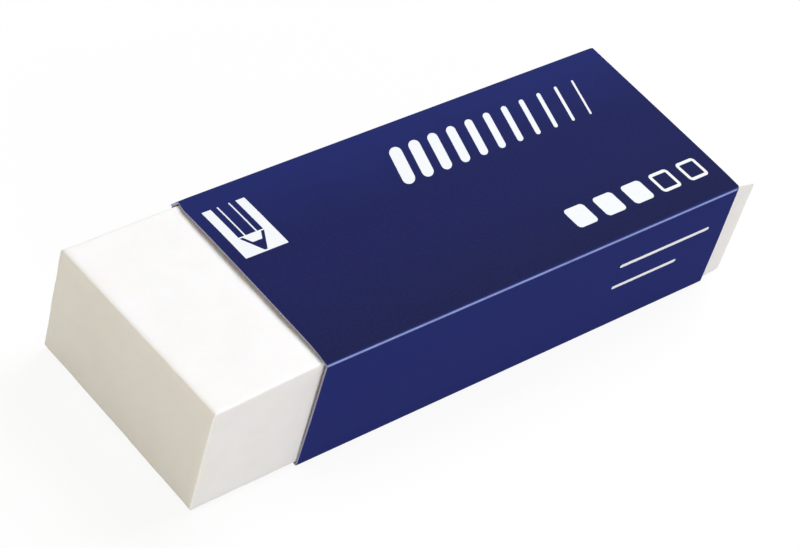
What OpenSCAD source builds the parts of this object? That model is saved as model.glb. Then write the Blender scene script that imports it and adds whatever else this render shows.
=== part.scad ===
// White vinyl eraser block in a folded card sleeve.
// Millimetres, +Z up. The block's working end points along -X, and the sleeve's
// underside lies on Z = 0, with the whole part centred over the origin.

/* [Eraser block] */
// Length of the block
block_l = 65; // [40:0.5:90]
// Width of the block
block_w = 21.1; // [15:0.1:30]
// Height of the block
block_h = 12.2; // [8:0.1:18]
// Radius along the block's four long edges
long_edge_r = 0.3; // [0.2:0.05:1.5]
// Radius round the block's two cut ends
end_edge_r = 0.25; // [0.2:0.05:1.5]

/* [Card sleeve] */
// Length of the sleeve along the block
sleeve_l = 51; // [20:0.5:60]
// How far the block stands out of the sleeve at its working end
working_reach = 11.4; // [2:0.1:20]
// Thickness of the card
card_t = 0.2; // [0.15:0.05:0.5]
// Radius inside each crease
crease_r = 0.05; // [0.05:0.05:0.5]
// Height of the far wall that the glue flap leaves bare under the top panel
flap_shortfall = 2.6; // [0.5:0.1:4]
// Length that the glue flap stops short of each mouth, at its crease
flap_end_inset = 0.6; // [0.2:0.1:2]
// Slant of the glue flap's ends, in degrees from upright
flap_end_slant = 15; // [0:1:30]
// Height of the lap's free edge above the underside
lap_edge_lift = 0.6; // [0.4:0.1:3]

/* [Fit] */
// Slack between the block and the near wall
side_slack = 0.2; // [0.05:0.05:0.6]
// Slack between the block and the glue flap
flap_slack = 0.1; // [0.05:0.05:0.4]
// Slack between the block and the top panel
top_slack = 0.15; // [0.05:0.05:0.6]
// Slack between the block and the bottom panel
seat_slack = 0.05; // [0.05:0.05:0.4]

/* [Hidden] */

$fn = 48;

// The far wall is two layers of card, the glue flap and the panel lapped over it.
outer_w = block_w + side_slack + flap_slack + 3 * card_t;
outer_h = block_h + seat_slack + top_slack + 2 * card_t;
fold_r = crease_r + card_t;

near_y = -outer_w / 2;
far_y = outer_w / 2;
flap_y = far_y - card_t;
flap_top = outer_h - card_t - flap_shortfall;
flap_end_slope = (flap_top - fold_r) * tan(flap_end_slant);
flap_cut_top = flap_top + flap_shortfall / 2;
// How far a cut runs past what it cuts.
cut_over = 1;

block_y = near_y + card_t + side_slack + block_w / 2;
block_z = card_t + seat_slack + block_h / 2;
sleeve_x = -block_l / 2 + working_reach;

// Rectangle with round corners, centred on the origin.
module rounded_rectangle(length, width, radius) {
    square([length - 2 * radius, width], center = true);
    square([length, width - 2 * radius], center = true);
    for (x = [-1, 1], y = [-1, 1])
        translate([x * (length / 2 - radius), y * (width / 2 - radius)])
            circle(radius);
}

// The extruded bar: its cross-section, seen along X, with the long edges round.
module bar() {
    rotate([90, 0, 90])
        linear_extrude(height = block_l, center = true)
            rounded_rectangle(block_w, block_h, long_edge_r);
}

// The two cuts that round the bar's ends, one seen from above and one from the side.
module end_rounding() {
    linear_extrude(height = block_h, center = true)
        rounded_rectangle(block_l, block_w, end_edge_r);
}

module end_rounding_upright() {
    rotate([90, 0, 0])
        linear_extrude(height = block_w, center = true)
            rounded_rectangle(block_l, block_h, end_edge_r);
}

module eraser_block() {
    color("whitesmoke")
        translate([0, block_y, block_z])
            intersection() {
                bar();
                end_rounding();
                end_rounding_upright();
            }
}

// Flat run of card between two corners of the section.
module panel(from, to) {
    translate(from)
        square(to - from);
}

// One creased corner: a quarter ring of card that starts along the given turn.
module crease(centre, turn) {
    translate(centre)
        rotate(turn)
            difference() {
                intersection() {
                    circle(fold_r);
                    square(fold_r);
                }
                circle(crease_r);
            }
}

// The folded strip in section, Y across and Z up. It runs from the lap's free
// edge over the top, down the near wall, back along the underside and up the
// inside of the far wall, where the glue flap meets the lap face to face.
module strip_section() {
    panel([flap_y, lap_edge_lift], [far_y, outer_h - fold_r]);
    crease([far_y - fold_r, outer_h - fold_r], 0);
    panel([near_y + fold_r, outer_h - card_t], [far_y - fold_r, outer_h]);
    crease([near_y + fold_r, outer_h - fold_r], 90);
    panel([near_y, fold_r], [near_y + card_t, outer_h - fold_r]);
    crease([near_y + fold_r, fold_r], 180);
    panel([near_y + fold_r, 0], [flap_y - fold_r, card_t]);
    crease([flap_y - fold_r, fold_r], 270);
    panel([flap_y - card_t, fold_r], [flap_y, flap_top]);
}

// What the front end of the glue flap loses, above its crease, so that no glued
// edge shows at the mouth.
module flap_end_cut() {
    translate([0, flap_y, 0])
        rotate([90, 0, 0])
            linear_extrude(height = card_t + cut_over)
                polygon([
                    [-cut_over, fold_r],
                    [flap_end_inset, fold_r],
                    [flap_end_inset + flap_end_slope, flap_top],
                    [flap_end_inset + flap_end_slope, flap_cut_top],
                    [-cut_over, flap_cut_top]
                ]);
}

module card_sleeve() {
    color("midnightblue")
        translate([sleeve_x, 0, 0])
            difference() {
                rotate([90, 0, 90])
                    linear_extrude(height = sleeve_l)
                        strip_section();
                flap_end_cut();
                translate([sleeve_l, 0, 0])
                    mirror([1, 0, 0])
                        flap_end_cut();
            }
}

eraser_block();
card_sleeve();
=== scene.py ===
"""A white vinyl eraser block in its printed card sleeve, dressed for rendering.

Every length is in metres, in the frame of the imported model: +X runs from the block's
working end to its rear, the near long side faces -Y, and the sleeve lies on Z = 0.
"""

import logging
import math
from dataclasses import dataclass, field
from enum import Enum

import bmesh
import bpy
from mathutils import Matrix, Vector, noise


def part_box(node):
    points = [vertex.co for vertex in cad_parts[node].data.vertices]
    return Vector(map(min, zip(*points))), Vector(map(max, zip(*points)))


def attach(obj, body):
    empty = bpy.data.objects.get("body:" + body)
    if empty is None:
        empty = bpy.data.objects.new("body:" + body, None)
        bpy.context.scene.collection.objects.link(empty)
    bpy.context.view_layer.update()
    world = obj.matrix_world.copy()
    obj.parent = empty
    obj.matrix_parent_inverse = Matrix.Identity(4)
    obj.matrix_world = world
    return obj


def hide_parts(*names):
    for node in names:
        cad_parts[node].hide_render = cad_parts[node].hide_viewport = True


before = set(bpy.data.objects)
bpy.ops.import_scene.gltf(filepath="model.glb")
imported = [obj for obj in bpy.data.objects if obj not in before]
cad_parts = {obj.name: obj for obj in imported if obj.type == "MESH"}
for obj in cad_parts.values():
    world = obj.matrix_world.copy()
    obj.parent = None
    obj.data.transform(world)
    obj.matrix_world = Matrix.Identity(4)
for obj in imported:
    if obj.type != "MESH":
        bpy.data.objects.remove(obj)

LOG = logging.getLogger("eraser")
MM = 0.001
ALONG = Vector((1.0, 0.0, 0.0))
ACROSS = Vector((0.0, 1.0, 0.0))
UP = Vector((0.0, 0.0, 1.0))
Span = tuple[float, float]
Triple = tuple[float, float, float]
Colour = Triple
WHITE: Colour = (1.0, 1.0, 1.0)
# Two places closer than this are one, and a cut takes in a point this near to it, in metres
TOUCHING = 1e-6
ON_CUT = 1e-8


def smooth_share(value: float, start: float, end: float) -> float:
    """Gives how far value has come from start to end, eased at both ends.

    Args:
        value: The value to place.
        start: Where the share is 0.
        end: Where the share is 1.

    Returns:
        The share, 0 to 1.
    """
    share = min(max((value - start) / (end - start), 0.0), 1.0)
    return share * share * (3 - 2 * share)


# ------------------------ shader maths


class Wire:
    """A number that varies over a surface: an output socket with arithmetic."""

    def __init__(self, book: "NodeBook", socket: bpy.types.NodeSocket) -> None:
        """Wraps a socket.

        Args:
            book: The node book that the socket belongs to.
            socket: The output socket.
        """
        self.book = book
        self.socket = socket

    def maths(self, operation: str, *others: "Wire | float") -> "Wire":
        """Adds one Math node that takes this value first."""
        return self.book.maths(operation, self, *others)

    def __add__(self, other: "Wire | float") -> "Wire":
        """Adds."""
        return self.maths("ADD", other)

    __radd__ = __add__

    def __sub__(self, other: "Wire | float") -> "Wire":
        """Takes away."""
        return self.maths("SUBTRACT", other)

    def __rsub__(self, other: float) -> "Wire":
        """Takes this value away from a number."""
        return self.book.maths("SUBTRACT", other, self)

    def __mul__(self, other: "Wire | float") -> "Wire":
        """Multiplies."""
        return self.maths("MULTIPLY", other)

    __rmul__ = __mul__

    def __truediv__(self, other: "Wire | float") -> "Wire":
        """Divides."""
        return self.maths("DIVIDE", other)

    def __rtruediv__(self, other: float) -> "Wire":
        """Divides a number by this value."""
        return self.book.maths("DIVIDE", other, self)

    def __neg__(self) -> "Wire":
        """Turns the sign."""
        return 0.0 - self

    def __abs__(self) -> "Wire":
        """Drops the sign."""
        return self.maths("ABSOLUTE")

    def at_most(self, other: "Wire | float") -> "Wire":
        """Gives the smaller of two values."""
        return self.maths("MINIMUM", other)

    def at_least(self, other: "Wire | float") -> "Wire":
        """Gives the larger of two values."""
        return self.maths("MAXIMUM", other)

    def rounded_down(self) -> "Wire":
        """Drops what is behind the decimal point."""
        return self.maths("FLOOR")

    def root(self) -> "Wire":
        """Gives the square root."""
        return self.maths("SQRT")

    def rising(self, start: float, end: float) -> "Wire":
        """Runs from 0 at start to 1 at end, eased at both ends.

        Args:
            start: The value that gives 0.
            end: The value that gives 1.

        Returns:
            The eased share.
        """
        node = self.book.node(
            "ShaderNodeMapRange",
            {"interpolation_type": "SMOOTHSTEP", "clamp": True},
            {"Value": self, "From Min": start, "From Max": end},
        )
        return Wire(self.book, node.outputs["Result"])


class NodeBook:
    """The nodes of one material or world."""

    # How strong each finer layer of a noise is beside the one before it
    GRAIN_ROUGHNESS = 0.55

    def __init__(self, owner: bpy.types.Material | bpy.types.World) -> None:
        """Empties the owner's node tree and puts its output in.

        Args:
            owner: The material or world.
        """
        self.owner = owner
        owner.use_nodes = True
        self.tree = owner.node_tree
        self.tree.nodes.clear()
        kind = "World" if isinstance(owner, bpy.types.World) else "Material"
        self.output = self.tree.nodes.new(f"ShaderNodeOutput{kind}")

    @classmethod
    def of_material(cls, name: str) -> "NodeBook":
        """Opens the book of a new material of that name."""
        return cls(bpy.data.materials.new(name))

    def node(self, kind: str, settings: dict, sockets: dict) -> bpy.types.Node:
        """Adds a node.

        Args:
            kind: The node's type.
            settings: Its properties, set before its sockets.
            sockets: Values, wires or sockets for its inputs, by name or number.

        Returns:
            The node.
        """
        node = self.tree.nodes.new(kind)
        for name, value in settings.items():
            setattr(node, name, value)
        for name, value in sockets.items():
            self.plug(value, node.inputs[name])
        return node

    def plug(self, value: object, into: bpy.types.NodeSocket) -> None:
        """Links a wire or socket to an input, or writes a value on it.

        Args:
            value: A wire, an output socket, a number or a colour.
            into: The input socket.
        """
        if isinstance(value, Wire):
            value = value.socket
        if isinstance(value, bpy.types.NodeSocket):
            self.tree.links.new(value, into)
        elif isinstance(value, tuple) and into.type == "RGBA":
            into.default_value = (*value, 1.0)
        else:
            into.default_value = value

    def maths(self, operation: str, *values: Wire | float) -> Wire:
        """Adds a Math node.

        Args:
            operation: The node's operation.
            values: Its inputs, in order.

        Returns:
            The result.
        """
        node = self.node("ShaderNodeMath", {"operation": operation}, dict(enumerate(values)))
        return Wire(self, node.outputs[0])

    def seen(self) -> Wire:
        """Tells what the camera sees, straight or by way of gloss or glass.

        Returns:
            The mask, 1 where it is seen.
        """
        path = self.node("ShaderNodeLightPath", {}, {})
        rays = [
            Wire(self, path.outputs[f"Is {kind} Ray"])
            for kind in ("Camera", "Glossy", "Transmission")
        ]
        return (rays[0] + rays[1] + rays[2]).at_most(1.0)

    def place(self) -> tuple[Wire, Wire, Wire]:
        """Finds the shaded point in the part's frame.

        Returns:
            Its X, Y and Z.
        """
        where = self.node("ShaderNodeTexCoord", {}, {})
        parts = self.node("ShaderNodeSeparateXYZ", {}, {0: where.outputs["Object"]})
        return tuple(Wire(self, parts.outputs[axis]) for axis in ("X", "Y", "Z"))

    def stretched_place(self, scale: Triple) -> bpy.types.NodeSocket:
        """Gives the shaded point's place, multiplied axis by axis.

        Args:
            scale: The factor along X, Y and Z.

        Returns:
            The vector socket.
        """
        where = self.node("ShaderNodeTexCoord", {}, {})
        node = self.node(
            "ShaderNodeMapping", {}, {"Vector": where.outputs["Object"], "Scale": scale}
        )
        return node.outputs["Vector"]

    def grain(self, size: float, detail: float, stretch: Triple = (1.0, 1.0, 1.0)) -> Wire:
        """Adds a noise over the part.

        Args:
            size: The width of its blotches, in metres.
            detail: How many finer layers it has.
            stretch: How much shorter it is along each axis.

        Returns:
            The noise, about 0.5 on average.
        """
        node = self.node(
            "ShaderNodeTexNoise",
            {"noise_dimensions": "3D"},
            {
                "Vector": self.stretched_place(stretch),
                "Scale": 1 / size,
                "Detail": detail,
                "Roughness": self.GRAIN_ROUGHNESS,
            },
        )
        return Wire(self, node.outputs["Fac"])

    def mix(
        self,
        share: Wire | float,
        first: Colour | bpy.types.NodeSocket,
        second: Colour | bpy.types.NodeSocket,
    ) -> bpy.types.NodeSocket:
        """Mixes two colours.

        Args:
            share: How much of the second, 0 to 1.
            first: The first colour.
            second: The second colour.

        Returns:
            The mixed colour.
        """
        node = self.node(
            "ShaderNodeMix", {"data_type": "RGBA", "clamp_factor": True}, {"Factor": share}
        )
        colour_inputs = [socket for socket in node.inputs if socket.type == "RGBA"]
        self.plug(first, colour_inputs[0])
        self.plug(second, colour_inputs[1])
        return next(socket for socket in node.outputs if socket.type == "RGBA")

    def bump(self, height: Wire, depth: float) -> bpy.types.NodeSocket:
        """Turns a height into a bumped normal.

        Args:
            height: The height, 0 to 1.
            depth: What 1 stands for, in metres.

        Returns:
            The normal.
        """
        node = self.node("ShaderNodeBump", {}, {"Height": height, "Distance": depth})
        return node.outputs["Normal"]

    def principled(self, **sockets: object) -> bpy.types.Material:
        """Ends the book with a Principled shader.

        Args:
            sockets: Its inputs, with an underscore for each space.

        Returns:
            The finished material.
        """
        shader = self.node(
            "ShaderNodeBsdfPrincipled",
            {},
            {name.replace("_", " "): value for name, value in sockets.items()},
        )
        self.end(shader)
        return self.owner

    def end(self, shader: bpy.types.Node) -> None:
        """Links a shader to the output."""
        self.tree.links.new(shader.outputs[0], self.output.inputs["Surface"])


# ------------------------ flat shapes of print


def rounded_box(
    across: Wire, along: Wire, half_across: Wire | float, half_along: float, radius: Wire | float
) -> Wire:
    """Gives the distance outside a rectangle with round corners, centred on 0, 0.

    Args:
        across: First coordinate.
        along: Second coordinate.
        half_across: Half its size along the first.
        half_along: Half its size along the second.
        radius: The corners' radius.

    Returns:
        The distance, negative inside.
    """
    out_across = abs(across) - half_across + radius
    out_along = abs(along) - half_along + radius
    corner_across = out_across.at_least(0.0)
    corner_along = out_along.at_least(0.0)
    outside = (corner_across * corner_across + corner_along * corner_along).root()
    inside = out_across.at_least(out_along).at_most(0.0)
    return outside + inside - radius


def inked(distance: Wire, blur: float = 0.02 * MM) -> Wire:
    """Turns a distance into a mask that is 1 inside the shape, with a soft edge."""
    return 1 - distance.rising(-blur, blur)


# ------------------------ finishes


@dataclass(frozen=True)
class Vinyl:
    """Soft white plasticised vinyl: matte, slightly see-through, finely grained."""

    colour: Colour = (0.95, 0.94, 0.925)
    blotch_colour: Colour = (0.935, 0.92, 0.90)
    blotch: float = 3.5 * MM
    blotch_edges: Span = (0.35, 0.7)
    tooth: float = 0.16 * MM
    tooth_share: float = 0.75
    tooth_depth: float = 0.006 * MM
    cut_line: float = 0.35 * MM
    cut_line_stretch: Triple = (1.0, 0.12, 1.0)
    roughness: float = 0.5
    roughness_range: float = 0.16
    gloss: float = 0.35
    glow: float = 0.35
    glow_depth: float = 0.7 * MM
    glow_radii: Triple = (1.0, 0.7, 0.45)

    def material(self) -> bpy.types.Material:
        """Builds the vinyl's material.

        Returns:
            The material.
        """
        book = NodeBook.of_material("white_vinyl")
        blotches = book.grain(self.blotch, detail=3.0).rising(*self.blotch_edges)
        tooth = book.grain(self.tooth, detail=3.0)
        cut_lines = book.grain(self.cut_line, detail=1.0, stretch=self.cut_line_stretch)
        height = tooth * self.tooth_share + cut_lines * (1 - self.tooth_share)
        return book.principled(
            Base_Color=book.mix(blotches, self.colour, self.blotch_colour),
            Roughness=self.roughness + tooth * self.roughness_range,
            Specular_IOR_Level=self.gloss,
            Subsurface_Weight=self.glow,
            Subsurface_Radius=self.glow_radii,
            Subsurface_Scale=self.glow_depth,
            Normal=book.bump(height, self.tooth_depth),
        )


@dataclass(frozen=True)
class RawBoard:
    """Unprinted grey-white board, as on the inside of the sleeve and its cut edges."""

    name: str
    colour: Colour
    shade: float = 0.82
    fibre: float = 0.25 * MM
    fibre_stretch: Triple = (0.35, 1.0, 1.0)
    fibre_edges: Span = (0.35, 0.7)
    fibre_depth: float = 0.008 * MM
    roughness: float = 0.9
    gloss: float = 0.2

    def material(self) -> bpy.types.Material:
        """Builds the board's material.

        Returns:
            The material.
        """
        book = NodeBook.of_material(self.name)
        fibres = book.grain(self.fibre, detail=4.0, stretch=self.fibre_stretch)
        darker = tuple(part * self.shade for part in self.colour)
        return book.principled(
            Base_Color=book.mix(fibres.rising(*self.fibre_edges), darker, self.colour),
            Roughness=self.roughness,
            Specular_IOR_Level=self.gloss,
            Normal=book.bump(fibres, self.fibre_depth),
        )


class Motif(Enum):
    """The fields of print on the sleeve."""

    PENCIL = "pencil"
    STROKES = "strokes"
    SQUARES = "squares"
    RULES = "rules"


@dataclass(frozen=True)
class PrintedCard:
    """Coated card printed in navy, with generic motifs left white.

    The motifs' places are measured from the sleeve's front mouth along X and from its
    middle across Y, or up from its underside on the near wall.
    """

    low: Vector
    high: Vector
    fold_radius: float
    # Lit and shaded copies of the one navy ink: painted shade for the top's near row and for the
    # walls other than the near one, the plain ink for the top's middle, painted sheen for its far
    # row
    painted_shade_ink: Colour = (0.0128, 0.0154, 0.0635)
    ink: Colour = (0.015, 0.0178, 0.0897)
    painted_sheen_ink: Colour = (0.0183, 0.0264, 0.1425)
    # Painted light: the near wall's ink is a lighter copy of the same navy, and the paper of its
    # print a lighter copy of the white
    painted_light_wall_ink: Colour = (0.0191, 0.0264, 0.157)
    paper: Colour = (0.91, 0.94, 0.955)
    painted_light_paper: Colour = (0.95, 0.97, 1.0)
    crack_and_highlight_colour: Colour = (0.28744, 0.351533, 0.658375)
    speckle_colour: Colour = (0.022, 0.034, 0.17)
    roughness: float = 0.5
    roughness_range: float = 0.1
    gloss: float = 0.012
    motifs: tuple[Motif, ...] = tuple(Motif)
    print_skew: float = 0.0166
    # Above this share of the height, the sleeve counts as its top
    top_share: float = 0.8
    # Where the top's ink is painted brighter towards its far side and darker towards its near
    # side, as painted sheen and shade, in shares of half its width
    painted_sheen_span: Span = (0.1, 1.1)

    # Unevenness of the ink and the board
    mottle: float = 0.22 * MM
    mottle_share: float = 0.6
    wave: float = 1.6 * MM
    relief: float = 0.004 * MM
    cloud: float = 6.0 * MM
    cloud_strength: float = 0.3
    speckle: float = 0.22
    speckle_edges: Span = (0.35, 0.75)

    # Ink cracked along the folds, with a painted highlight along the near top fold
    crease_band: Span = (0.15, 0.8)
    crease_lean: float = 0.85
    crease_end: Span = (0.25 * MM, 0.6 * MM)
    unlit_crease: float = 0.03
    crease_wear: float = 0.5 * MM
    wear_stretch: Triple = (0.3, 1.0, 1.0)
    wear_edges: Span = (0.2, 0.6)
    least_wear: float = 0.7

    # Pencil symbol, pointing at the near wall
    pencil_at: float = 3.73 * MM
    pencil_half: float = 1.37 * MM
    field_half: float = 2.36 * MM
    field_near: float = 2.17 * MM
    field_far: float = 8.51 * MM
    field_radius: float = 0.075 * MM
    tip_at: float = 2.34 * MM
    tip_half: float = 0.15 * MM
    lead_end: float = 3.57 * MM
    cone_end: float = 4.4 * MM
    body_at: float = 4.53 * MM
    outline: float = 0.31 * MM
    facet_line: float = 0.15 * MM
    facet_share: float = 0.47

    # Graded strokes
    strokes_at: float = 21.0 * MM
    strokes_mid: float = 5.6 * MM
    stroke_pitch: float = 2.3 * MM
    stroke_count: int = 11
    stroke_height: float = 4.6 * MM
    stroke_slant: float = 20.0
    widest_stroke: float = 1.45 * MM
    narrowest_stroke: float = 0.25 * MM

    # Row of squares
    squares_at: float = 31.4 * MM
    squares_mid: float = -7.0 * MM
    square_pitch: float = 3.7 * MM
    square_count: int = 5
    filled_squares: int = 3
    square_side: float = 2.5 * MM
    square_radius: float = 0.45 * MM
    square_line: float = 0.35 * MM

    # Rules on the near wall
    rules_at: float = 36.4 * MM
    upper_rule: float = 8.5 * MM
    upper_rule_length: float = 12.0 * MM
    lower_rule: float = 5.7 * MM
    lower_rule_length: float = 8.6 * MM
    rule_width: float = 0.4 * MM

    def pencil(self, along: Wire, across: Wire) -> Wire:
        """Draws the pencil symbol: a white field with a pencil that stays dark.

        Args:
            along: The place along the sleeve, from its front mouth.
            across: The place across it, from its middle.

        Returns:
            The mask of what stays white.
        """
        aside = along - self.pencil_at
        side = abs(aside)
        middle = (self.field_near + self.field_far) / 2
        half_length = (self.field_far - self.field_near) / 2
        field_box = rounded_box(
            aside, across - middle, self.field_half, half_length, self.field_radius
        )
        facet = abs(side - self.pencil_half * self.facet_share) - self.facet_line / 2
        body = (side - self.pencil_half).at_least(self.body_at - across).at_least(-facet)
        slope = (self.pencil_half - self.tip_half) / (self.cone_end - self.tip_at)
        half_cone = (across - self.tip_at) * slope + self.tip_half
        flank = (side - half_cone) / math.hypot(1.0, slope)
        cone = flank.at_least(self.tip_at - across).at_least(across - self.cone_end)
        shell = cone.at_least(-(flank + self.outline))
        lead = cone.at_least(across - self.lead_end)
        return inked(field_box) * (1 - inked(body.at_most(shell).at_most(lead)))

    def strokes(self, along: Wire, across: Wire) -> Wire:
        """Draws a band of slanted strokes that get finer towards the rear.

        Args:
            along: The place along the sleeve, from its front mouth.
            across: The place across it, from its middle.

        Returns:
            The mask of what stays white.
        """
        up = across - self.strokes_mid
        slanted = along - self.strokes_at - up * math.tan(math.radians(self.stroke_slant))
        number = (slanted / self.stroke_pitch).rounded_down()
        number = number.at_least(0.0).at_most(self.stroke_count - 1.0)
        local = slanted - (number + 0.5) * self.stroke_pitch
        step = (self.widest_stroke - self.narrowest_stroke) / (self.stroke_count - 1)
        half = (self.widest_stroke - number * step) / 2
        return inked(rounded_box(local, up, half, self.stroke_height / 2, half))

    def squares(self, along: Wire, across: Wire) -> Wire:
        """Draws a row of small squares, the last ones in outline.

        Args:
            along: The place along the sleeve, from its front mouth.
            across: The place across it, from its middle.

        Returns:
            The mask of what stays white.
        """
        up = across - self.squares_mid
        number = ((along - self.squares_at) / self.square_pitch).rounded_down()
        number = number.at_least(0.0).at_most(self.square_count - 1.0)
        local = along - self.squares_at - (number + 0.5) * self.square_pitch
        side = self.square_side / 2
        filled = rounded_box(local, up, side, side, self.square_radius)
        ring = filled.at_least(-(filled + self.square_line))
        hollow = number.rising(self.filled_squares - 1.0, self.filled_squares)
        return inked(filled) * (1 - hollow) + inked(ring) * hollow

    def rules(self, along: Wire, height: Wire) -> Wire:
        """Draws two thin rules on the near wall.

        Args:
            along: The place along the sleeve, from its front mouth.
            height: The height above its underside.

        Returns:
            The mask of what stays white.
        """
        half_width = self.rule_width / 2
        return sum(
            inked(
                rounded_box(
                    along - self.rules_at - length / 2,
                    height - level,
                    length / 2,
                    half_width,
                    half_width,
                )
            )
            for level, length in (
                (self.upper_rule, self.upper_rule_length),
                (self.lower_rule, self.lower_rule_length),
            )
        )

    def upper(self, z: Wire) -> Wire:
        """Tells the sleeve's top, which takes the light, from what lies lower."""
        return z.rising(self.high.z / 2, self.high.z * self.top_share)

    def material(self) -> bpy.types.Material:
        """Builds the printed card's material.

        Returns:
            The material.
        """
        book = NodeBook.of_material("printed_card")
        x, y, z = book.place()
        along = x - self.low.x
        skewed = along + y * self.print_skew
        from_side = self.high.y - abs(y)
        on_top = from_side.rising(self.fold_radius / 2, self.fold_radius) * self.upper(z)
        on_near = 1 - y.rising(self.low.y + self.fold_radius / 2, self.low.y + self.fold_radius)

        marks = {
            Motif.PENCIL: lambda: self.pencil(skewed, y) * on_top,
            Motif.STROKES: lambda: self.strokes(skewed, y) * on_top,
            Motif.SQUARES: lambda: self.squares(skewed, y) * on_top,
            Motif.RULES: lambda: self.rules(along, z) * on_near,
        }
        white = sum(marks[motif]() for motif in self.motifs)

        mottle = book.grain(self.mottle, detail=3.0)
        cloud = (book.grain(self.cloud, detail=2.0) - 0.5) * self.cloud_strength
        # Painted sheen and shade: the top's ink grows lighter towards its far side and darker
        # towards its near side
        painted_sheen_share = (y / self.high.y + cloud).rising(*self.painted_sheen_span)
        painted_shade_share = (cloud - y / self.high.y).rising(*self.painted_sheen_span)
        sheen_and_shade_top_ink = book.mix(painted_sheen_share, self.ink, self.painted_sheen_ink)
        sheen_and_shade_top_ink = book.mix(painted_shade_share, sheen_and_shade_top_ink, self.painted_shade_ink)
        # Painted light on the near wall's ink, painted shade on the other walls
        lit_and_shaded_wall_ink = book.mix(on_near, self.painted_shade_ink, self.painted_light_wall_ink)
        ink = book.mix(on_top, lit_and_shaded_wall_ink, sheen_and_shade_top_ink)
        speckle = mottle.rising(*self.speckle_edges) * self.speckle
        ink = book.mix(speckle, ink, self.speckle_colour)
        # Painted light: the print is lighter on the near wall than on the top
        paper = book.mix(on_near, self.paper, self.painted_light_paper)
        base = book.mix(white, ink, paper)
        # Cracked ink along the folds, with a painted highlight along the near top fold
        base = book.mix(self.crease(book, x, y, z) * (1 - white), base, self.crack_and_highlight_colour)
        wave = book.grain(self.wave, detail=2.0)
        height = mottle * self.mottle_share + wave * (1 - self.mottle_share)
        return book.principled(
            Base_Color=base,
            Roughness=self.roughness + mottle * self.roughness_range,
            Specular_IOR_Level=self.gloss,
            Normal=book.bump(height, self.relief),
        )

    def crease(self, book: NodeBook, x: Wire, y: Wire, z: Wire) -> Wire:
        """Shows the board through the ink where it is cracked along the folds, and paints a
        highlight along the near top fold.

        Args:
            book: The card's node book.
            x: The shaded point's X.
            y: Its Y.
            z: Its Z.

        Returns:
            How much cracked board and painted highlight show, most along the near top fold, where
            the highlight is painted.
        """
        from_side = self.high.y - abs(y)
        from_flat = (self.high.z - z).at_most(z - self.low.z)
        off_ridge = abs((from_flat - from_side) / self.fold_radius - self.crease_lean)
        ridge = 1 - off_ridge.rising(*self.crease_band)
        # Painted highlight: full strength only on the near top fold, which takes the light
        lit = (1 - y.rising(self.low.y / 2, 0.0)) * self.upper(z)
        strength = lit * (1 - self.unlit_crease) + self.unlit_crease
        worn = book.grain(self.crease_wear, detail=3.0, stretch=self.wear_stretch)
        wear = worn.rising(*self.wear_edges) * (1 - self.least_wear) + self.least_wear
        whole = (self.high.x - x).rising(*self.crease_end)
        return ridge * strength * wear * whole


# ------------------------ pieces


def finish_piece(
    mesh: bmesh.types.BMesh, name: str, node: str, body: str, materials: list
) -> bpy.types.Object:
    """Turns a bmesh into a piece that stands for a CAD node.

    Args:
        mesh: The finished bmesh, which is freed.
        name: The piece's name.
        node: The CAD node that it stands for.
        body: The body that it rides on.
        materials: Its materials, in order.

    Returns:
        The object.
    """
    for face in mesh.faces:
        face.smooth = True
    data = bpy.data.meshes.new(name)
    mesh.to_mesh(data)
    mesh.free()
    piece = bpy.data.objects.new(name, data)
    bpy.context.scene.collection.objects.link(piece)
    for material in materials:
        data.materials.append(material)
    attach(piece, body)
    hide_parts(node)
    return piece


def slice_across(mesh: bmesh.types.BMesh, axis: Vector, stations: list[float]) -> None:
    """Cuts a loop of edges round a mesh at each station along an axis.

    Args:
        mesh: The mesh to cut.
        axis: The axis that the cuts stand across.
        stations: Where they are along it.
    """
    for station in stations:
        bmesh.ops.bisect_plane(
            mesh,
            geom=mesh.verts[:] + mesh.edges[:] + mesh.faces[:],
            dist=ON_CUT,
            plane_co=axis * station,
            plane_no=axis,
        )


def spread(start: float, end: float, pitch: float) -> list[float]:
    """Spaces stations evenly from start to end.

    Args:
        start: The first station.
        end: The last station.
        pitch: About how far apart they are.

    Returns:
        The stations, both ends included.
    """
    count = max(1, round((end - start) / pitch))
    return [start + (end - start) * step / count for step in range(count + 1)]


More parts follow.
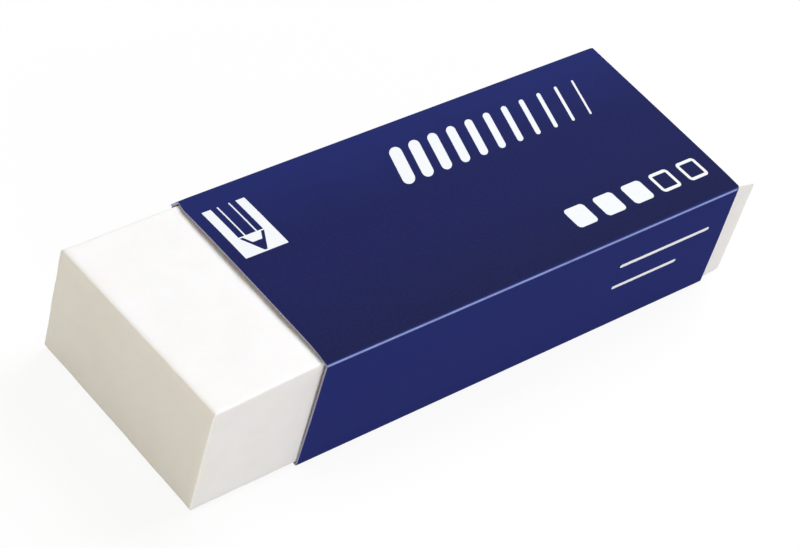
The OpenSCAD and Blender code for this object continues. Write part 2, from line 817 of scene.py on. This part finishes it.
@dataclass
class EraserBlock:
    """The vinyl block: an extruded bar with soft edges, freshly cut ends and a little give."""

    low: Vector
    high: Vector
    mouth: float
    finish: Vinyl = field(default_factory=Vinyl)
    edge_steps: int = 4
    hold: float = 0.1 * MM
    pitch: float = 0.45 * MM

    # Rounded edges: along the bar, round its cut ends, and the cross edges that wear most
    long_edge: float = 0.2 * MM
    end_edge: float = 0.07 * MM
    front_blunting: float = 0.4 * MM
    rear_blunting: float = 0.95 * MM
    top_blunting: float = 0.36 * MM

    # Sideways: how the bar widens at its foot and towards its free end
    near_foot: float = 0.15 * MM
    near_lean: float = 0.25 * MM
    near_flare: float = 0.065 * MM
    near_splay: float = 0.17 * MM
    far_flare: float = 0.05 * MM
    far_flare_length: float = 4.0 * MM

    # Down: the top and the foot of the free end, and the top of the rear end
    droop: float = 0.2 * MM
    sag: float = 0.015 * MM
    rear_sink: float = 0.85 * MM
    rear_sink_length: float = 4.0 * MM
    rear_sink_overrun: float = 1.0 * MM
    far_relief: float = 0.5

    # Along: how far each cut end stands past the ideal one, and its slants
    front_stretch: float = 0.1 * MM
    front_skew: float = 0.18 * MM
    front_lean: float = 0.38 * MM
    front_reach: float = 0.06 * MM
    front_hold: float = 4.0 * MM
    rear_stretch: float = 0.2 * MM
    rear_lean: float = 0.2 * MM

    # Fine unevenness, square to each face
    unevenness: float = 0.03 * MM
    ripple: float = 2.6 * MM
    fine_ripple: float = 1.04 * MM
    fine_share: float = 0.5
    end_order: int = 15
    side_order: int = 9

    def bar(self) -> bmesh.types.BMesh:
        """Makes the bar, with its long edges rounded first and its ends after.

        Returns:
            The bar's bmesh.
        """
        mesh = bmesh.new()
        bmesh.ops.create_cube(mesh, size=1.0)
        bmesh.ops.scale(mesh, vec=self.high - self.low, verts=mesh.verts)
        bmesh.ops.translate(mesh, vec=(self.high + self.low) / 2, verts=mesh.verts)
        long_edges = [
            edge for edge in mesh.edges if abs(edge.verts[0].co.x - edge.verts[1].co.x) > TOUCHING
        ]
        self.round_edges(mesh, long_edges, self.long_edge)
        rims = [
            edge
            for end in (self.low.x, self.high.x)
            for edge in mesh.edges
            if all(abs(vert.co.x - end) < TOUCHING for vert in edge.verts)
        ]
        self.round_edges(mesh, rims, self.end_edge)
        return mesh

    def round_edges(self, mesh: bmesh.types.BMesh, edges: list, radius: float) -> None:
        """Rounds edges with the block's number of steps.

        Args:
            mesh: The mesh that they are in.
            edges: The edges.
            radius: The radius that they get.
        """
        bmesh.ops.bevel(
            mesh,
            geom=edges,
            offset=radius,
            offset_type="OFFSET",
            affect="EDGES",
            segments=self.edge_steps,
            profile=0.5,
            material=-1,
        )

    def stations(self, axis: int, radius: float) -> list[float]:
        """Spaces the cuts along one axis, the outer ones as holding loops beside its edges.

        Args:
            axis: The axis, 0 to 2.
            radius: The radius of the edges at its ends.

        Returns:
            Where the cuts are.
        """
        start = self.low[axis] + radius + self.hold
        end = self.high[axis] - radius - self.hold
        return spread(start, end, self.pitch)

    def give(self, point: Vector) -> Vector:
        """Moves a point of the ideal bar to where the soft, hand-cut block has it.

        Args:
            point: A point on the bar.

        Returns:
            The moved point.
        """
        middle = (self.low + self.high) / 2
        half = (self.high - self.low) / 2
        aside = (point.y - middle.y) / half.y
        farther = (aside + 1) / 2
        nearer = 1 - farther
        raised = (point.z - self.low.z) / (2 * half.z)
        moved = self.blunted(point)

        free = smooth_share(point.x, self.mouth, self.low.x)
        out = smooth_share(point.x, self.mouth + self.far_flare_length, self.mouth)
        near_out = self.near_flare * free + raised * self.near_splay * free**2
        flare = self.far_flare * out if aside > 0 else near_out
        moved.y += aside * flare - nearer * (self.near_foot - raised * self.near_lean)

        moved.z -= raised * self.droop * free + (1 - raised) * self.sag * out
        sinking = smooth_share(
            point.x, self.high.x - self.rear_sink_length, self.high.x + self.rear_sink_overrun
        )
        moved.z -= self.rear_sink * sinking * raised * (1 - farther * self.far_relief)

        skew = self.front_stretch + farther * self.front_skew
        skew += raised * (farther * self.front_lean + nearer * self.front_reach)
        moved.x -= skew * smooth_share(point.x, self.mouth - self.front_hold, self.low.x)
        reach = self.rear_stretch + raised * nearer * self.rear_lean
        moved.x += reach * smooth_share(point.x, middle.x, self.high.x)
        return moved + self.ripples(point)

    def ripples(self, point: Vector) -> Vector:
        """Gives the fine unevenness at a point.

        Args:
            point: A point on the bar.

        Returns:
            The shift, outwards or inwards.
        """
        orders = (self.end_order, self.side_order, self.side_order)
        places = zip(point, (self.low + self.high) / 2, (self.high - self.low) / 2, orders)
        outward = Vector([((at - middle) / half) ** order for at, middle, half, order in places])
        wave = noise.noise(point / self.ripple)
        wave += self.fine_share * noise.noise(point / self.fine_ripple)
        return outward * wave * self.unevenness

    def blunted(self, point: Vector) -> Vector:
        """Rounds three cross edges further, as wear and handling do.

        Args:
            point: A point on the bar.

        Returns:
            The point, drawn in to the rounder edge where it lies outside it.
        """
        moved = point.copy()
        for end, inward, level, upward, radius in (
            (self.low.x, 1.0, self.low.z, 1.0, self.front_blunting),
            (self.high.x, -1.0, self.low.z, 1.0, self.rear_blunting),
            (self.low.x, 1.0, self.high.z, -1.0, self.top_blunting),
        ):
            beyond = radius - (point.x - end) * inward
            past = radius - (point.z - level) * upward
            reach = math.hypot(beyond, past)
            if beyond > 0 and past > 0 and reach > radius:
                moved.x = end + (radius - beyond * radius / reach) * inward
                moved.z = level + (radius - past * radius / reach) * upward
        return moved

    def build(self) -> bpy.types.Object:
        """Builds the block and puts it on its body.

        Returns:
            The piece.
        """
        mesh = self.bar()
        for axis, direction in enumerate((ALONG, ACROSS, UP)):
            radius = self.end_edge if axis == 0 else self.long_edge
            slice_across(mesh, direction, self.stations(axis, radius))
        for vert in mesh.verts:
            vert.co = self.give(vert.co)
        return finish_piece(
            mesh, "vinyl_block", "eraser_block", "eraser", [self.finish.material()]
        )


class StripPen:
    """Draws the outer face of a folded strip in section, run by run and fold by fold."""

    def __init__(self, start: Vector, heading: Vector) -> None:
        """Sets the pen down.

        Args:
            start: The strip's first point.
            heading: The way that it sets off.
        """
        self.mesh = bmesh.new()
        self.tip = self.mesh.verts.new(start)
        self.heading = heading.copy()

    def run(self, lengths: list[float]) -> None:
        """Goes straight on, with a point at the end of each length.

        Args:
            lengths: The lengths, one after the other.
        """
        for length in lengths:
            made = bmesh.ops.extrude_vert_indiv(self.mesh, verts=[self.tip])
            self.tip = made["verts"][0]
            bmesh.ops.translate(self.mesh, vec=self.heading * length, verts=[self.tip])

    def fold(self, radius: float, steps: int) -> None:
        """Turns a quarter to the left, round a crease.

        Args:
            radius: The crease's outer radius.
            steps: How many edges it has.
        """
        left = ALONG.cross(self.heading)
        made = bmesh.ops.spin(
            self.mesh,
            geom=[self.tip],
            cent=self.tip.co + left * radius,
            axis=ALONG,
            dvec=Vector(),
            angle=math.pi / 2,
            steps=steps,
            use_merge=False,
            use_duplicate=False,
        )
        self.tip = next(
            part for part in made["geom_last"] if isinstance(part, bmesh.types.BMVert)
        )
        self.heading = left

    def sweep(self, stations: list[float]) -> bmesh.types.BMesh:
        """Draws the whole section out along X, with a row of points at each station.

        Args:
            stations: Where the rows are, the first one where the pen was set down.

        Returns:
            The strip's bmesh.
        """
        edges = self.mesh.edges[:]
        for start, end in zip(stations, stations[1:]):
            made = bmesh.ops.extrude_edge_only(self.mesh, edges=edges)["geom"]
            row = {part for part in made if isinstance(part, bmesh.types.BMVert)}
            bmesh.ops.translate(self.mesh, vec=ALONG * (end - start), verts=list(row))
            edges = [
                part
                for part in made
                if isinstance(part, bmesh.types.BMEdge) and row.issuperset(part.verts)
            ]
        return self.mesh


@dataclass
class CardSleeve:
    """The sleeve: one strip of card, creased round the block and glued on its far wall."""

    low: Vector
    high: Vector
    card: float = 0.2 * MM
    crease: float = 0.05 * MM
    fold_steps: int = 8
    pitch: float = 1.0 * MM
    hold: float = 0.12 * MM
    edge_softness: float = 0.03 * MM
    edge_steps: int = 2
    edge_angle: float = 60.0
    # Painted shade: the inside board is darkened to stand for the shade in the gap between card
    # and block
    shaded_inside_colour: Colour = (0.391572, 0.356400, 0.304987)
    cut_edge_colour: Colour = (0.38, 0.37, 0.5)

    # Glue flap and lap
    flap_shortfall: float = 2.6 * MM
    flap_inset: float = 0.6 * MM
    flap_slant: float = 15.0
    lap_lift: float = 0.6 * MM
    glue_line: float = 0.008 * MM

    # Along: how far the cut ends stand off the ideal ones
    front_slip: float = 0.15 * MM
    front_skew: float = 0.12 * MM
    slip_zone: float = 0.1
    rear_slip: float = 0.04 * MM
    rear_skew: float = 0.36 * MM
    rear_curl: float = 0.12 * MM
    curl_order: int = 12
    rear_lean: float = 0.18 * MM
    rear_tuck: float = 0.03 * MM
    far_blunting: float = 0.25 * MM
    blunt_zone: float = 0.07
    lap_reach: float = 0.65 * MM
    lap_tuck: float = 0.5 * MM
    lap_corner: float = 0.6 * MM

    # Up: the bow of the top panel at the mouth, and how far it stands down at each end
    top_zone: float = 0.03
    bow: float = 0.19 * MM
    bow_order: int = 3
    front_drop: float = 0.12 * MM
    rear_drop: float = 0.06 * MM
    waver: float = 0.15
    waver_length: float = 9.0 * MM

    # Sideways: the far wall leans in at its top, and the near one bows out
    front_far_lean: float = 0.14 * MM
    rear_far_lean: float = 0.06 * MM
    mouth_far_lean: float = 0.06 * MM
    mouth_length: float = 1.6 * MM
    lean_height: float = 0.2
    lean_width: float = 0.1
    near_zone: float = 0.02
    wall_bow: float = 0.04 * MM
    near_spread: float = 0.06 * MM

    @property
    def fold_radius(self) -> float:
        """The outer radius of a fold."""
        return self.card + self.crease

    @property
    def flap_plane(self) -> float:
        """Where the glue flap's outer face lies across Y."""
        return self.high.y - self.card - self.glue_line

    @property
    def flap_top(self) -> float:
        """Where the glue flap's free edge lies."""
        return self.high.z - self.card - self.flap_shortfall

    def lengths(self, total: float) -> list[float]:
        """Splits a flat run into steps, with a short one beside each crease.

        Args:
            total: The run's length.

        Returns:
            The steps.
        """
        marks = [0.0] + spread(self.hold, total - self.hold, self.pitch) + [total]
        return [after - before for before, after in zip(marks, marks[1:])]

    def strip(self) -> bmesh.types.BMesh:
        """Draws the strip's outer face and sweeps it along the sleeve.

        Returns:
            The strip's bmesh.
        """
        radius = self.fold_radius
        tall = self.high.z - self.low.z
        wide = self.high.y - self.low.y
        pen = StripPen(Vector((self.low.x, self.high.y, self.low.z + self.lap_lift)), UP)
        pen.run(self.lengths(tall - self.lap_lift - radius))
        for panel in (
            wide - 2 * radius,
            tall - 2 * radius,
            self.flap_plane - self.low.y - 2 * radius,
            self.flap_top - self.low.z - radius,
        ):
            pen.fold(radius, self.fold_steps)
            pen.run(self.lengths(panel))
        return pen.sweep(spread(self.low.x, self.high.x, self.pitch))

    def settle(self, point: Vector) -> Vector:
        """Moves a point of the ideal strip to where the real folded card has it.

        Args:
            point: A point of the strip's outer face.

        Returns:
            The moved point.
        """
        rearward, aside, raised = (
            (point[axis] - self.low[axis]) / (self.high[axis] - self.low[axis])
            for axis in range(3)
        )
        frontward = 1 - rearward
        on_top = smooth_share(raised, 1 - self.top_zone, 1.0)
        waver = 1 + self.waver * noise.noise(point / self.waver_length)
        moved = point.copy()

        slip = self.front_slip - aside * self.front_skew
        moved.x += slip * smooth_share(aside, 0.0, self.slip_zone) * frontward
        moved.x += (self.rear_slip + aside * self.rear_skew) * rearward
        moved.x -= self.rear_curl * (1 - aside) ** self.curl_order * rearward
        on_wall = smooth_share(point.y, self.low.y + self.fold_radius, self.low.y)
        moved.x += ((1 - 2 * raised) * self.rear_lean - self.rear_tuck) * rearward * on_wall
        blunt = self.far_blunting * on_top
        moved.x += blunt * smooth_share(aside, 1 - self.blunt_zone, 1.0) * frontward
        reach = (self.lap_reach + blunt) * frontward + self.lap_tuck * rearward
        moved.x -= reach * self.on_lap_corner(point)
        moved.x += self.flap_end_shift(point) * (1 - 2 * rearward)

        arch = 1 - abs(2 * aside - 1) ** self.bow_order
        moved.z += self.bow * on_top * arch * frontward * waver
        moved.z -= (self.front_drop * frontward + self.rear_drop * rearward) * raised

        at_mouth = smooth_share(point.x, self.low.x + self.mouth_length, self.low.x)
        lean = self.front_far_lean * frontward + self.rear_far_lean * rearward
        lean += self.mouth_far_lean * at_mouth
        lean *= smooth_share(aside, 1 - self.lean_width, 1.0)
        moved.y -= lean * smooth_share(raised, 1 - self.lean_height, 1.0)
        bulge = self.wall_bow * self.hump(raised) * waver + self.near_spread * (1 + rearward) / 2
        moved.y -= bulge * smooth_share(aside, self.near_zone, 0.0)
        return moved

    def on_lap_corner(self, point: Vector) -> float:
        """Tells how near a point is to the lap's top, where its ends stand out past the fold.

        Args:
            point: A point of the strip's outer face.

        Returns:
            The share, 1 at the top of the lap and 0 off it.
        """
        on_lap = smooth_share(point.y, self.flap_plane, self.high.y)
        return on_lap * max(1 - (self.high.z - point.z) / self.lap_corner, 0.0)

    def flap_end_shift(self, point: Vector) -> float:
        """Gives how far the glue flap's ends stand in from the mouths.

        Args:
            point: A point of the strip's outer face.

        Returns:
            The distance, 0 off the flap.
        """
        rise = point.z - self.low.z - self.fold_radius
        on_plane = abs(point.y - self.flap_plane) < TOUCHING
        if not on_plane or rise <= 0 or point.z > self.flap_top + TOUCHING:
            return 0.0
        return self.flap_inset + rise * math.tan(math.radians(self.flap_slant))

    @staticmethod
    def hump(share: float) -> float:
        """Rises from 0 at either end of 0 to 1 to 1 in the middle, eased all the way."""
        return smooth_share(share, 0.0, 0.5) * smooth_share(share, 1.0, 0.5)

    def build(self) -> bpy.types.Object:
        """Builds the sleeve and puts it on its body.

        Returns:
            The piece.
        """
        mesh = self.strip()
        mesh.normal_update()
        highest = max(mesh.faces, key=lambda face: face.calc_center_median().z)
        if highest.normal.z < 0:
            bmesh.ops.reverse_faces(mesh, faces=mesh.faces)
        for vert in mesh.verts:
            vert.co = self.settle(vert.co)
        printed = PrintedCard(self.low, self.high, self.fold_radius)
        # The inside board's colour is painted shade
        inside = RawBoard("shaded_board_inside", self.shaded_inside_colour)
        cut_edge = RawBoard("board_cut_edge", self.cut_edge_colour)
        piece = finish_piece(
            mesh,
            "folded_sleeve",
            "card_sleeve",
            "sleeve",
            [printed.material(), inside.material(), cut_edge.material()],
        )
        wall = piece.modifiers.new("card", "SOLIDIFY")
        wall.thickness = self.card
        wall.offset = -1.0
        wall.use_even_offset = True
        wall.use_quality_normals = True
        wall.material_offset = 1
        wall.material_offset_rim = 2
        soft = piece.modifiers.new("cut_edges", "BEVEL")
        soft.width = self.edge_softness
        soft.segments = self.edge_steps
        soft.limit_method = "ANGLE"
        soft.angle_limit = math.radians(self.edge_angle)
        soft.harden_normals = True
        return piece


# ------------------------ studio


@dataclass(frozen=True)
class SoftLamp:
    """A square soft lamp that points at the part.

    Its level is the light that reaches the part, whatever the distance.
    """

    name: str
    towards: Triple
    level: float
    distance: float = 0.7
    size: float = 0.4
    colour: Colour = WHITE

    def build(self, target: Vector) -> None:
        """Hangs the lamp.

        Args:
            target: The point that it lights.
        """
        data = bpy.data.lights.new(self.name, "AREA")
        data.size = self.size
        data.energy = self.level * (math.pi * self.distance) ** 2
        data.color = self.colour
        lamp = bpy.data.objects.new(self.name, data)
        bpy.context.scene.collection.objects.link(lamp)
        direction = Vector(self.towards).normalized()
        lamp.location = target + direction * self.distance
        lamp.rotation_euler = direction.to_track_quat("Z", "Y").to_euler()


@dataclass
class Studio:
    """A plain pale floor, a soft sky, three soft lamps and the camera."""

    target: Vector = field(default_factory=lambda: Vector((-2.78, -0.98, 6.4)) * MM)
    azimuth: float = -52.24
    elevation: float = 42.02
    roll: float = 18.31
    distance: float = 237.24 * MM
    lens: float = 118.15
    sensor: float = 36.0
    near_clip: float = 1.0 * MM
    sky: float = 0.15
    sky_colour: Colour = (1.25, 1.0, 0.75)
    floor_colour: Colour = (0.48, 0.451, 0.393)
    floor_glow: float = 0.9
    floor_size: float = 6.0
    floor_gap: float = 0.02 * MM
    lamps: tuple[SoftLamp, ...] = (
        SoftLamp("key", (0.62, 0.12, 0.77), 1.09, 1.2, 0.8, (0.95, 0.99, 1.06)),
        SoftLamp("near_fill", (-0.35, -1.0, 0.12), 0.743, 1.0, 0.6, (0.968, 1.0, 1.075)),
        SoftLamp("front_fill", (-1.0, 0.0, 0.2), 0.27, colour=(0.995, 0.975, 0.75)),
    )

    def camera(self) -> None:
        """Sets up the camera."""
        turn, lift = math.radians(self.azimuth), math.radians(self.elevation)
        reach = math.cos(lift)
        back = Vector((math.sin(turn) * reach, -math.cos(turn) * reach, math.sin(lift)))
        data = bpy.data.cameras.new("camera")
        data.lens = self.lens
        data.sensor_width = self.sensor
        data.clip_start = self.near_clip
        camera = bpy.data.objects.new("camera", data)
        bpy.context.scene.collection.objects.link(camera)
        level = back.to_track_quat("Z", "Y").to_matrix().to_4x4()
        rolled = level @ Matrix.Rotation(math.radians(self.roll), 4, "Z")
        camera.matrix_world = Matrix.Translation(self.target + back * self.distance) @ rolled
        bpy.context.scene.camera = camera

    def floor(self) -> None:
        """Lays the floor, which the camera sees as white with a faint shadow."""
        mesh = bmesh.new()
        bmesh.ops.create_grid(mesh, x_segments=1, y_segments=1, size=self.floor_size / 2)
        data = bpy.data.meshes.new("floor")
        mesh.to_mesh(data)
        mesh.free()
        floor = bpy.data.objects.new("floor", data)
        floor.location.z = -self.floor_gap
        bpy.context.scene.collection.objects.link(floor)
        book = NodeBook.of_material("pale_floor")
        seen = book.seen()
        colour = book.mix(seen, self.floor_colour, WHITE)
        cloth = book.node("ShaderNodeBsdfDiffuse", {}, {"Color": colour})
        glow = book.node("ShaderNodeEmission", {}, {"Color": WHITE, "Strength": 1.0})
        sockets = {0: seen * self.floor_glow, 1: cloth.outputs[0], 2: glow.outputs[0]}
        both = book.node("ShaderNodeMixShader", {}, sockets)
        book.end(both)
        data.materials.append(book.owner)

    def surroundings(self) -> None:
        """Fills the world with an even soft light, white where it is seen."""
        book = NodeBook(bpy.data.worlds.new("sky"))
        seen = book.seen()
        strength = seen * (1 - self.sky) + self.sky
        colour = book.mix(seen, self.sky_colour, WHITE)
        sky = book.node("ShaderNodeBackground", {}, {"Color": colour, "Strength": strength})
        book.end(sky)
        bpy.context.scene.world = book.owner

    def build(self) -> None:
        """Sets the studio up."""
        self.camera()
        self.floor()
        self.surroundings()
        for lamp in self.lamps:
            lamp.build(self.target)
        bpy.context.scene.view_settings.view_transform = "Standard"


def main() -> None:
    """Builds the studio and the two pieces, sized by the two parts' boxes."""
    logging.basicConfig(level=logging.INFO, format="%(name)s: %(message)s")
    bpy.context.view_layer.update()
    Studio().build()
    sleeve_low, sleeve_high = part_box("card_sleeve")
    block_low, block_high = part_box("eraser_block")
    for maker in (
        EraserBlock(block_low, block_high, sleeve_low.x),
        CardSleeve(sleeve_low, sleeve_high),
    ):
        piece = maker.build()
        LOG.info("%s: %d faces", piece.name, len(piece.data.polygons))


if __name__ == "__main__":
    main()
